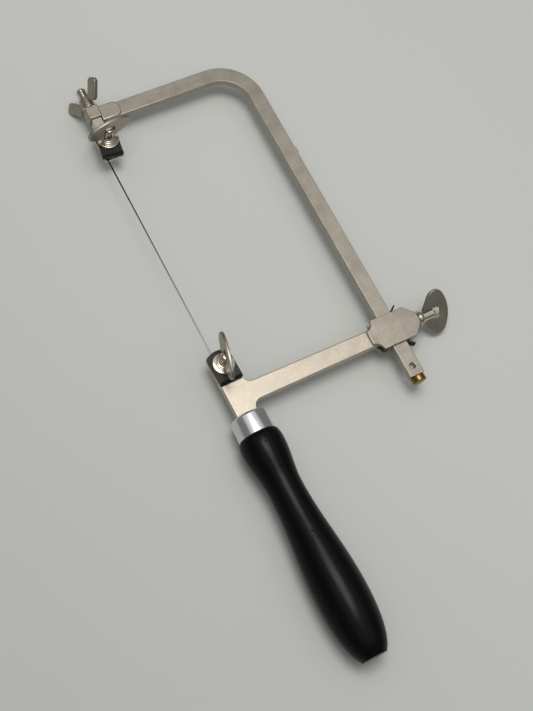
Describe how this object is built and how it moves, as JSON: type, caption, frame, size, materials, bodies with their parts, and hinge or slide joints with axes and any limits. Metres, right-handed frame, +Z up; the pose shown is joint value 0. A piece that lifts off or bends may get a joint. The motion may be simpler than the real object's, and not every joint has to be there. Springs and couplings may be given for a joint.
{
  "type": "jewellers_saw",
  "caption": "Adjustable jewellers saw: sliding nickel-plated bow, clamped fretsaw blade, tension wing nut, oval thumb screws, aluminium ferrule and a turned black handle",
  "frame": {"origin": "under the middle of the whole box, on the surface that the saw lies on", "axes": "+X runs from the blade to the spine, +Y from the handle to the head, +Z is up, out of the frame's plane on the side of the blade clamps' screws"},
  "size_m": [0.127, 0.3046, 0.0316],
  "materials": {
    "satin_nickel": "satin nickel plate on steel",
    "pale_nickel": "pale matt nickel plate on steel",
    "bright_nickel": "bright nickel plate on steel",
    "black_steel": "black oxide on steel",
    "blade_steel": "hardened dark steel",
    "aluminium": "polished aluminium",
    "aged_brass": "aged brass",
    "black_lacquer": "black satin lacquer on turned wood"
  },
  "bodies": {
    "handle_frame": {"lower_arm": "pale_nickel", "slide_block": "satin_nickel", "ferrule": "aluminium", "handle": "black_lacquer", "saw_blade": "blade_steel"},
    "bow": {"bow_bar": "satin_nickel", "head_block": "satin_nickel", "brass_end_stop": "aged_brass", "tension_washer": "bright_nickel"},
    "tension_slide": {"tension_jaw": "bright_nickel"},
    "tension_nut": {"wing_nut": "satin_nickel"},
    "upper_clamp": {"upper_clamp_plate": "black_steel"},
    "upper_thumb_screw": {"upper_clamp_screw": "bright_nickel", "upper_clamp_wing": "satin_nickel"},
    "lower_clamp": {"lower_clamp_plate": "black_steel"},
    "lower_thumb_screw": {"lower_clamp_screw": "bright_nickel", "lower_clamp_wing": "satin_nickel"},
    "pressure": {"pressure_strip": "black_steel"},
    "slide_thumb_screw": {"slide_screw": "bright_nickel", "slide_wing": "satin_nickel"}
  },
  "joints": [
    {"name": "bow_slide", "type": "slide", "parent": "handle_frame", "child": "bow", "axis": [0, 1, 0], "range_m": [-0.09, 0.017]},
    {"name": "tension_travel", "type": "slide", "parent": "bow", "child": "tension_slide", "axis": [0, 1, 0], "range_m": [-0.0021, 0.0021]},
    {"name": "nut_turn", "type": "hinge", "parent": "bow", "child": "tension_nut", "pos_m": [-0.04877, 0.14185, 0.012], "axis": [0, -1, 0], "range_deg": [-1080, 1080]},
    {"name": "upper_clamp_lift", "type": "slide", "parent": "tension_slide", "child": "upper_clamp", "axis": [0, 0, 1], "range_m": [0, 0.00125]},
    {"name": "upper_screw_turn", "type": "hinge", "parent": "upper_clamp", "child": "upper_thumb_screw", "pos_m": [-0.04877, 0.1204, 0.0149], "axis": [0, 0, 1], "range_deg": [0, 900]},
    {"name": "lower_clamp_lift", "type": "slide", "parent": "handle_frame", "child": "lower_clamp", "axis": [0, 0, 1], "range_m": [0, 0.00125]},
    {"name": "lower_screw_turn", "type": "hinge", "parent": "lower_clamp", "child": "lower_thumb_screw", "pos_m": [-0.05058, -0.00595, 0.0149], "axis": [0, 0, 1], "range_deg": [0, 900]},
    {"name": "pressure_release", "type": "slide", "parent": "handle_frame", "child": "pressure", "axis": [1, 0, 0], "range_m": [0, 0.0012]},
    {"name": "slide_screw_turn", "type": "hinge", "parent": "pressure", "child": "slide_thumb_screw", "pos_m": [0.04578, -0.02255, 0.012], "axis": [1, 0, 0], "range_deg": [0, 540]}
  ],
  "couplings": [
    {"joint": "nut_turn", "follows": "tension_travel", "rad_per_m": 8975.9},
    {"joint": "upper_screw_turn", "follows": "upper_clamp_lift", "rad_per_m": 12566},
    {"joint": "lower_screw_turn", "follows": "lower_clamp_lift", "rad_per_m": 12566},
    {"joint": "slide_screw_turn", "follows": "pressure_release", "rad_per_m": 7853.9}
  ]
}
